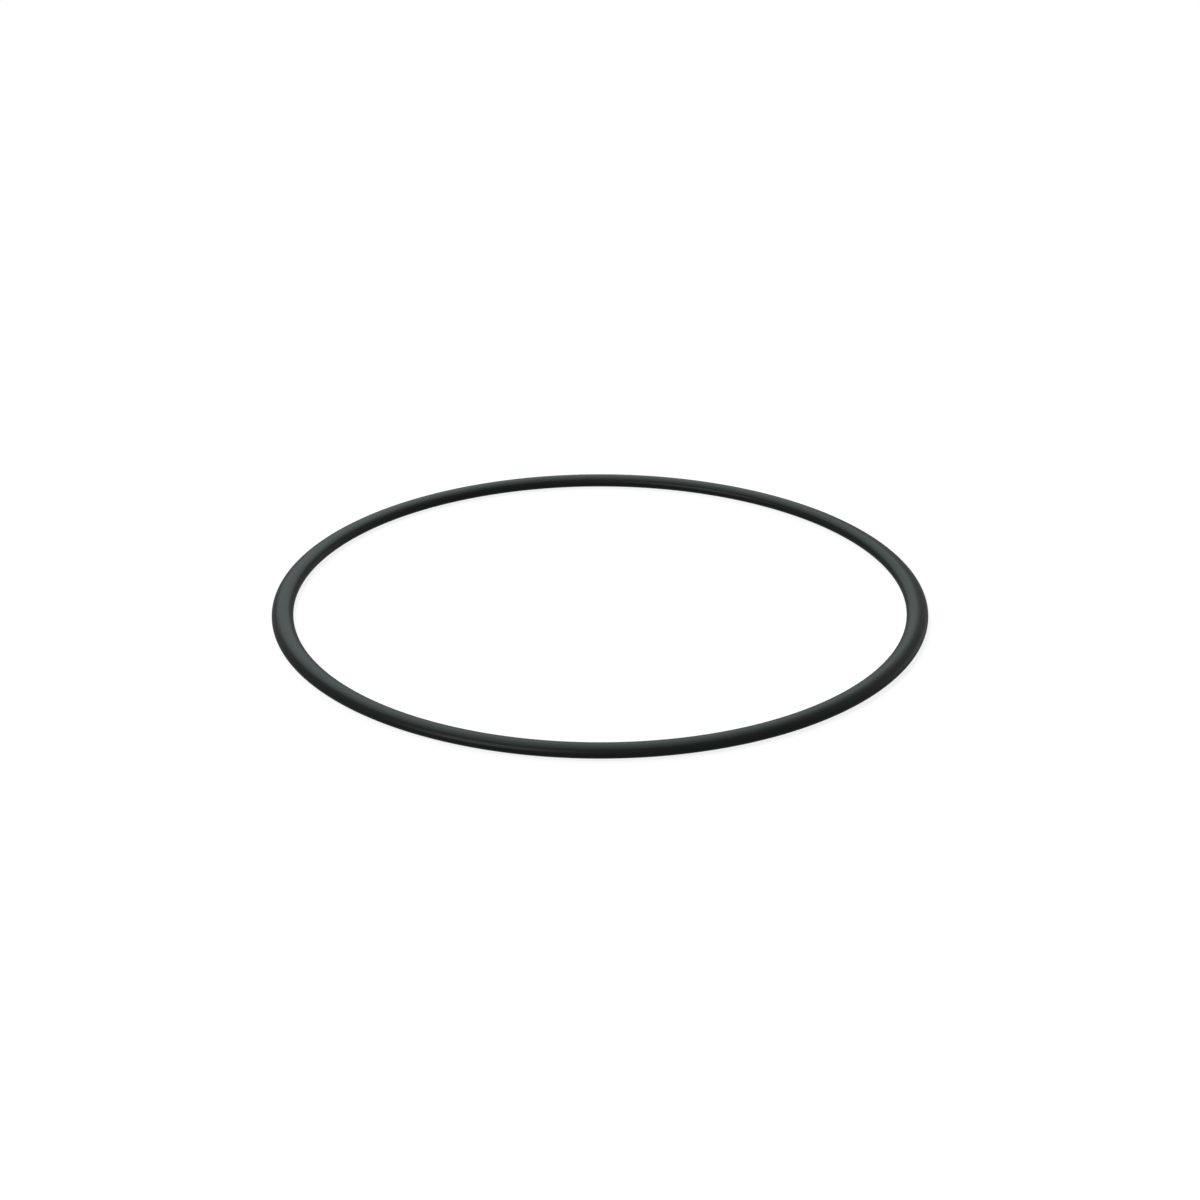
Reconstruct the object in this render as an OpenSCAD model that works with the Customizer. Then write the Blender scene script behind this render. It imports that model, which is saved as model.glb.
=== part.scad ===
// Rubber o-ring, in the form that it takes in its groove: pressed to an oval section between
// the groove's floor and its lid. It is one moulding, turned about Z, and lies at z = 0.

/* [Moulded size] */
// Inside diameter of the ring as it leaves its mould
moulded_inner_d = 115; // [60:0.5:400]
// Diameter of the ring's round section as it leaves its mould
moulded_section_d = 3; // [2.5:0.05:5]

/* [Groove] */
// Depth of the groove, which is the height that the section is pressed to
groove_depth = 2.25; // [1.5:0.05:2.5]

/* [Hidden] */
$fn = 180;
rubber_black = "#1e2120";

// Pressed rubber keeps the radius of its centre line, and the area of its section
centre_r = (moulded_inner_d + moulded_section_d) / 2;
pressed_w = pow(moulded_section_d, 2) / groove_depth;

// The round section flattened to the groove's depth, and spread by as much
module pressed_oval() {
    scale([pressed_w / moulded_section_d, groove_depth / moulded_section_d])
        circle(d = moulded_section_d);
}

// The oval's upper outer quarter, cut at the mould's joint and at the centre line
module quarter_section() {
    intersection() {
        pressed_oval();
        square([pressed_w, groove_depth]);
    }
}

// The whole oval: the outer half and its mirror image, each of two quarters
module section() {
    for (inner = [0, 1], lower = [0, 1])
        mirror([inner, 0])
            mirror([0, lower])
                quarter_section();
}

module o_ring() {
    color(rubber_black)
        translate([0, 0, groove_depth / 2])
            rotate_extrude()
                translate([centre_r, 0])
                    section();
}

o_ring();
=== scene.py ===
import math

import bpy
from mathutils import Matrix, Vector


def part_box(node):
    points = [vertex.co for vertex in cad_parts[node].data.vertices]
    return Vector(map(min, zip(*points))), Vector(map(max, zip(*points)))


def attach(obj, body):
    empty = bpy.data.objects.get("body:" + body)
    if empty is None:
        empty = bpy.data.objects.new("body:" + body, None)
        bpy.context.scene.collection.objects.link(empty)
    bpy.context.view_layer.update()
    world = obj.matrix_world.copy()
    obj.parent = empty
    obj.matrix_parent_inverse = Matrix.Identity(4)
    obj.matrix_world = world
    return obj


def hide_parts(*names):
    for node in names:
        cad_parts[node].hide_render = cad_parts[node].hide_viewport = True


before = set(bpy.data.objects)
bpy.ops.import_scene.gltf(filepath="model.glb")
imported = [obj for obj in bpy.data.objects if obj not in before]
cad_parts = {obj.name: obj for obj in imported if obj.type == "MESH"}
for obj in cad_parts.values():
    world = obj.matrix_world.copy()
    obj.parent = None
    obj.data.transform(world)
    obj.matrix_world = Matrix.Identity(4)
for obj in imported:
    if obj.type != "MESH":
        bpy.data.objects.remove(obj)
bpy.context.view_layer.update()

MM = 0.001

# The ring as it leaves its mould, and the squeeze that its groove gives it
MOULDED_INNER_D = 115 * MM
MOULDED_SECTION_D = 3 * MM
LOW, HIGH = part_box("o_ring")
PRESSED_H = HIGH.z - LOW.z
PRESSED_W = MOULDED_SECTION_D**2 / PRESSED_H
CENTRE_R = (MOULDED_INNER_D + MOULDED_SECTION_D) / 2
MID_HEIGHT = (LOW.z + HIGH.z) / 2

# How finely the rubber is divided: round the ring, and round its section
STEPS_ROUND = 720
STEPS_ACROSS = 72

# The circle, one across, that the section's width and height stretch to the oval
UNIT_CIRCLE_R = 0.5

# The camera looks down on the ring's centre from the front
CAMERA_DISTANCE = 468.9 * MM
CAMERA_ELEVATION = math.radians(25)
CAMERA_NEAR = 10 * MM

# The sensor's width and the lens's focal length, in millimetres as Blender counts them
SENSOR = 36
LENS = 75.2

# The rubber itself: its deeper and its bloomed black, and the little sheen of the compound
RUBBER_DEEP = (0.0040, 0.0046, 0.0045, 1)
RUBBER_BLOOMED = (0.0060, 0.0069, 0.0067, 1)
RUBBER_ROUGHNESS = 0.44
RUBBER_SPECULAR = 0.01

# The skin that the mould leaves on the rubber, which gives it most of its soft gloss
SKIN_GLOSS = 0.147
SKIN_ROUGHNESS = 0.33

# Marks in the skin: clouds of bloom, about a centimetre across, and a grain of a third of a
# millimetre. Each scale is how many fit in a metre.
CLOUD_SCALE = 90
CLOUD_DETAIL = 3
CLOUD_GLOSS = 0.02
CLOUD_ROUGHENS = 0.04
GRAIN_SCALE = 3200
GRAIN_DETAIL = 2
GRAIN_GLOSS = 0.02
GRAIN_HEIGHT = 0.006 * MM
GRAIN_STRENGTH = 0.12

# The floor: how far it reaches from the ring's centre, its paper, and its own glow
FLOOR_REACH = 300 * MM
FLOOR_PAPER = 0.20
FLOOR_GLOW = 0.85

# The light: the room's own, and three softboxes at one distance, their sizes in metres
ROOM_LEVEL = 0.10
SOFTBOX_DISTANCE = 1400 * MM
OVERHEAD_TOWARDS = (-0.484, -0.398, 0.780)
OVERHEAD_WIDTH = 0.78
OVERHEAD_HEIGHT = 0.97
OVERHEAD_WATTS = 13.1
OVERHEAD_COLOUR = (1.0, 1.0, 1.0)
BACK_TOWARDS = (-0.088, 0.703, 0.705)
BACK_WIDTH = 0.92
BACK_HEIGHT = 1.77
BACK_WATTS = 16.8
BACK_COLOUR = (0.79, 1.0, 0.955)
SIDE_TOWARDS = (0.794, 0.577, 0.190)
SIDE_WIDTH = 0.68
SIDE_HEIGHT = 0.62
SIDE_WATTS = 2.2
SIDE_COLOUR = (1.0, 0.93, 1.0)

WHITE = (1, 1, 1, 1)


class Sock:
    """A node's output, in which + and * add Math nodes to its tree."""

    def __init__(self, tree, socket):
        self.tree = tree
        self.socket = socket

    def maths(self, operation, other):
        return self.tree.make("ShaderNodeMath", {"operation": operation}, {0: self, 1: other})

    def __add__(self, other):
        return self.maths("ADD", other)

    def __mul__(self, other):
        return self.maths("MULTIPLY", other)

    __radd__ = __add__
    __rmul__ = __mul__


class Tree:
    """A node tree, and the one way that its nodes are made."""

    def __init__(self, node_tree):
        self.nodes = node_tree.nodes
        self.links = node_tree.links
        self.nodes.clear()

    def make(self, kind, settings, inputs, out=0):
        """Makes a node, sets it up, fills its inputs by name or number, and gives one output."""
        node = self.nodes.new(kind)
        for name, value in settings.items():
            setattr(node, name, value)
        for key, value in inputs.items():
            if isinstance(value, Sock):
                self.links.new(value.socket, node.inputs[key])
            else:
                node.inputs[key].default_value = value
        return Sock(self, node.outputs[out]) if node.outputs else None


def new_material(name):
    """A material with an empty node tree."""
    material = bpy.data.materials.new(name)
    material.use_nodes = True
    return material, Tree(material.node_tree)


def noise(tree, place, scale, detail):
    """A soft random pattern on the piece, from 0 to 1."""
    return tree.make(
        "ShaderNodeTexNoise", {}, {"Vector": place, "Scale": scale, "Detail": detail}, "Fac"
    )


def black_rubber():
    """Moulded rubber: near black, under a finely grained skin with a soft gloss."""
    material, tree = new_material("black_rubber")
    place = tree.make("ShaderNodeTexCoord", {}, {}, "Object")
    cloud = noise(tree, place, CLOUD_SCALE, CLOUD_DETAIL)
    grain = noise(tree, place, GRAIN_SCALE, GRAIN_DETAIL)
    # A Mix node's colours are its inputs 6 and 7 and its output 2, since names are shared
    colour = tree.make(
        "ShaderNodeMix", {"data_type": "RGBA"}, {0: cloud, 6: RUBBER_DEEP, 7: RUBBER_BLOOMED}, 2
    )
    skin = tree.make(
        "ShaderNodeBump",
        {},
        {"Strength": GRAIN_STRENGTH, "Distance": GRAIN_HEIGHT, "Height": grain},
        "Normal",
    )
    rubber = tree.make(
        "ShaderNodeBsdfPrincipled",
        {},
        {
            "Base Color": colour,
            "Roughness": RUBBER_ROUGHNESS + CLOUD_ROUGHENS * cloud,
            "Normal": skin,
            "Specular IOR Level": RUBBER_SPECULAR,
            "Coat Weight": SKIN_GLOSS + CLOUD_GLOSS * cloud + GRAIN_GLOSS * grain,
            "Coat Roughness": SKIN_ROUGHNESS,
        },
    )
    tree.make("ShaderNodeOutputMaterial", {}, {"Surface": rubber})
    return material


def ring_tree():
    """Sweeps the pressed section round the ring's centre line."""
    group = bpy.data.node_groups.new("pressed_ring", "GeometryNodeTree")
    tree = Tree(group)
    for name, kind in (
        ("Geometry", "NodeSocketGeometry"),
        ("Centre Radius", "NodeSocketFloat"),
        ("Section Width", "NodeSocketFloat"),
        ("Section Height", "NodeSocketFloat"),
        ("Mid Height", "NodeSocketFloat"),
        ("Steps Round", "NodeSocketInt"),
        ("Steps Across", "NodeSocketInt"),
        ("Rubber", "NodeSocketMaterial"),
    ):
        group.interface.new_socket(name, in_out="INPUT", socket_type=kind)
    group.interface.new_socket("Geometry", in_out="OUTPUT", socket_type="NodeSocketGeometry")

    def given(name):
        return tree.make("NodeGroupInput", {}, {}, name)

    def circle(steps, radius):
        sizes = {"Resolution": steps, "Radius": radius}
        return tree.make("GeometryNodeCurvePrimitiveCircle", {}, sizes, "Curve")

    line = circle(given("Steps Round"), given("Centre Radius"))
    level_line = tree.make("GeometryNodeSetCurveNormal", {"mode": "Z_UP"}, {"Curve": line})
    oval_size = tree.make(
        "ShaderNodeCombineXYZ",
        {},
        {"X": given("Section Width"), "Y": given("Section Height"), "Z": 1},
    )
    oval = tree.make(
        "GeometryNodeTransform",
        {},
        {"Geometry": circle(given("Steps Across"), UNIT_CIRCLE_R), "Scale": oval_size},
    )
    swept = tree.make("GeometryNodeCurveToMesh", {}, {"Curve": level_line, "Profile Curve": oval})
    lift = tree.make("ShaderNodeCombineXYZ", {}, {"Z": given("Mid Height")})
    raised = tree.make("GeometryNodeTransform", {}, {"Geometry": swept, "Translation": lift})
    smooth = tree.make("GeometryNodeSetShadeSmooth", {}, {"Geometry": raised})
    real = tree.make("GeometryNodeRealizeInstances", {}, {"Geometry": smooth})
    coated = tree.make(
        "GeometryNodeSetMaterial", {}, {"Geometry": real, "Material": given("Rubber")}
    )
    tree.make("NodeGroupOutput", {}, {"Geometry": coated})
    return group


def o_ring():
    """The ring as one plain mesh, made by its node tree."""
    ring = bpy.data.objects.new("o_ring_rubber", bpy.data.meshes.new("o_ring_seed"))
    bpy.context.scene.collection.objects.link(ring)
    maker = ring.modifiers.new("sweep", "NODES")
    maker.node_group = ring_tree()
    sizes = {
        "Centre Radius": CENTRE_R,
        "Section Width": PRESSED_W,
        "Section Height": PRESSED_H,
        "Mid Height": MID_HEIGHT,
        "Steps Round": STEPS_ROUND,
        "Steps Across": STEPS_ACROSS,
        "Rubber": black_rubber(),
    }
    for item in maker.node_group.interface.items_tree:
        if item.name in sizes:
            maker[item.identifier] = sizes[item.name]
    made = ring.evaluated_get(bpy.context.evaluated_depsgraph_get())
    mesh = bpy.data.meshes.new_from_object(made)
    ring.modifiers.remove(maker)
    ring.data = mesh
    return ring


def sees_white(tree):
    """1 for the rays that see the white surroundings: the camera's, a gloss's and a glass's."""
    camera = tree.make("ShaderNodeLightPath", {}, {}, "Is Camera Ray")
    gloss = tree.make("ShaderNodeLightPath", {}, {}, "Is Glossy Ray")
    glass = tree.make("ShaderNodeLightPath", {}, {}, "Is Transmission Ray")
    return camera + gloss + glass


def white_paper():
    """Paper that looks white, darkens where the ring shades it, and is open from below."""
    material, tree = new_material("white_paper")
    grey = (FLOOR_PAPER, FLOOR_PAPER, FLOOR_PAPER, 1)
    paper = tree.make("ShaderNodeBsdfDiffuse", {}, {"Color": grey})
    glow = tree.make("ShaderNodeEmission", {}, {"Color": WHITE, "Strength": FLOOR_GLOW})
    glowing = tree.make("ShaderNodeAddShader", {}, {0: paper, 1: glow})
    above = tree.make("ShaderNodeMixShader", {}, {0: sees_white(tree), 1: paper, 2: glowing})
    camera = tree.make("ShaderNodeLightPath", {}, {}, "Is Camera Ray")
    underside = tree.make("ShaderNodeNewGeometry", {}, {}, "Backfacing")
    clear = tree.make("ShaderNodeBsdfTransparent", {}, {"Color": WHITE})
    both = tree.make("ShaderNodeMixShader", {}, {0: camera * underside, 1: above, 2: clear})
    tree.make("ShaderNodeOutputMaterial", {}, {"Surface": both})
    return material


def floor():
    """The plain pale floor that the ring lies on."""
    mesh = bpy.data.meshes.new("floor")
    signs = ((-1, -1), (1, -1), (1, 1), (-1, 1))
    corners = [(x * FLOOR_REACH, y * FLOOR_REACH, LOW.z) for x, y in signs]
    mesh.from_pydata(corners, [], [(0, 1, 2, 3)])
    mesh.materials.append(white_paper())
    sheet = bpy.data.objects.new("floor", mesh)
    bpy.context.scene.collection.objects.link(sheet)


def softbox(name, towards, width, height, watts, colour):
    """An oblong lamp that stands in a direction from the ring, and faces it."""
    lamp = bpy.data.lights.new(name, "AREA")
    lamp.shape = "RECTANGLE"
    lamp.size = width
    lamp.size_y = height
    lamp.energy = watts
    lamp.color = colour
    holder = bpy.data.objects.new(name, lamp)
    holder.location = Vector(towards).normalized() * SOFTBOX_DISTANCE
    holder.rotation_euler = (-holder.location).to_track_quat("-Z", "Y").to_euler()
    bpy.context.scene.collection.objects.link(holder)


def studio_light():
    """A white room, and softboxes overhead, behind and to the right."""
    world = bpy.data.worlds.new("white_room")
    world.use_nodes = True
    bpy.context.scene.world = world
    tree = Tree(world.node_tree)
    room = tree.make("ShaderNodeBackground", {}, {"Color": WHITE, "Strength": ROOM_LEVEL})
    white = tree.make("ShaderNodeBackground", {}, {"Color": WHITE, "Strength": 1})
    seen = tree.make("ShaderNodeMixShader", {}, {0: sees_white(tree), 1: room, 2: white})
    tree.make("ShaderNodeOutputWorld", {}, {"Surface": seen})
    softbox(
        "overhead_softbox",
        OVERHEAD_TOWARDS,
        OVERHEAD_WIDTH,
        OVERHEAD_HEIGHT,
        OVERHEAD_WATTS,
        OVERHEAD_COLOUR,
    )
    softbox("back_softbox", BACK_TOWARDS, BACK_WIDTH, BACK_HEIGHT, BACK_WATTS, BACK_COLOUR)
    softbox("side_softbox", SIDE_TOWARDS, SIDE_WIDTH, SIDE_HEIGHT, SIDE_WATTS, SIDE_COLOUR)


def camera():
    """Looks at the ring's centre, at the photograph's angle."""
    lens = bpy.data.cameras.new("camera")
    lens.sensor_fit = "HORIZONTAL"
    lens.sensor_width = SENSOR
    lens.lens = LENS
    lens.clip_start = CAMERA_NEAR
    holder = bpy.data.objects.new("camera", lens)
    away = Vector((0, -math.cos(CAMERA_ELEVATION), math.sin(CAMERA_ELEVATION)))
    holder.location = Vector((0, 0, MID_HEIGHT)) + away * CAMERA_DISTANCE
    holder.rotation_euler = (math.pi / 2 - CAMERA_ELEVATION, 0, 0)
    bpy.context.scene.collection.objects.link(holder)
    bpy.context.scene.camera = holder


bpy.context.scene.view_settings.view_transform = "Standard"
camera()
studio_light()
floor()
ring = o_ring()
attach(ring, "root")
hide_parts("o_ring")
